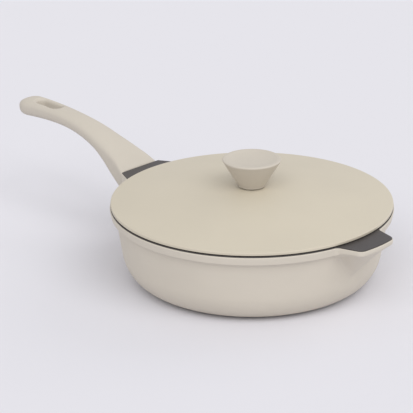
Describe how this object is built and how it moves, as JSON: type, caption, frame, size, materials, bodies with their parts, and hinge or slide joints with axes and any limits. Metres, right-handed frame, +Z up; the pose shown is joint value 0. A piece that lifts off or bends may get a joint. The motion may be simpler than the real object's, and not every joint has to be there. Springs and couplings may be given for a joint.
{
  "type": "saute pan with lid",
  "caption": "Wide cast pan with dark non-stick lining, arched handle with a hanging slot, flat helper tab at the rim, and a low domed lid that lifts off by a dished cone knob.",
  "frame": {"origin": "centre of the base, on the surface that the pan stands on", "axes": "+Z up along the axis of the pan, the handle along -X, the helper tab along +X"},
  "size_m": [0.508, 0.284, 0.1245],
  "materials": {
    "cream_coat": "matt cream enamel on die-cast aluminium",
    "lid_coat": "matt cream enamel on aluminium",
    "dark_lining": "satin dark grey non-stick coat",
    "cream_moulding": "soft matt cream moulding",
    "steel": "brushed",
    "brass": "turned",
    "silicone": "matt"
  },
  "bodies": {
    "pan": {"pan_body": "cream_coat", "nonstick_lining": "dark_lining", "induction_plate": "steel", "handle_grip": "cream_moulding", "handle_screw": "steel", "handle_washer": "steel"},
    "lid": {"lid_shell": "lid_coat", "knob": "cream_moulding", "knob_gasket": "silicone", "knob_insert": "brass", "knob_screw": "steel", "knob_washer": "steel"}
  },
  "joints": [
    {"name": "lid_lift", "type": "slide", "parent": "pan", "child": "lid", "axis": [0, 0, 1], "range_m": [0, 0.15]}
  ]
}
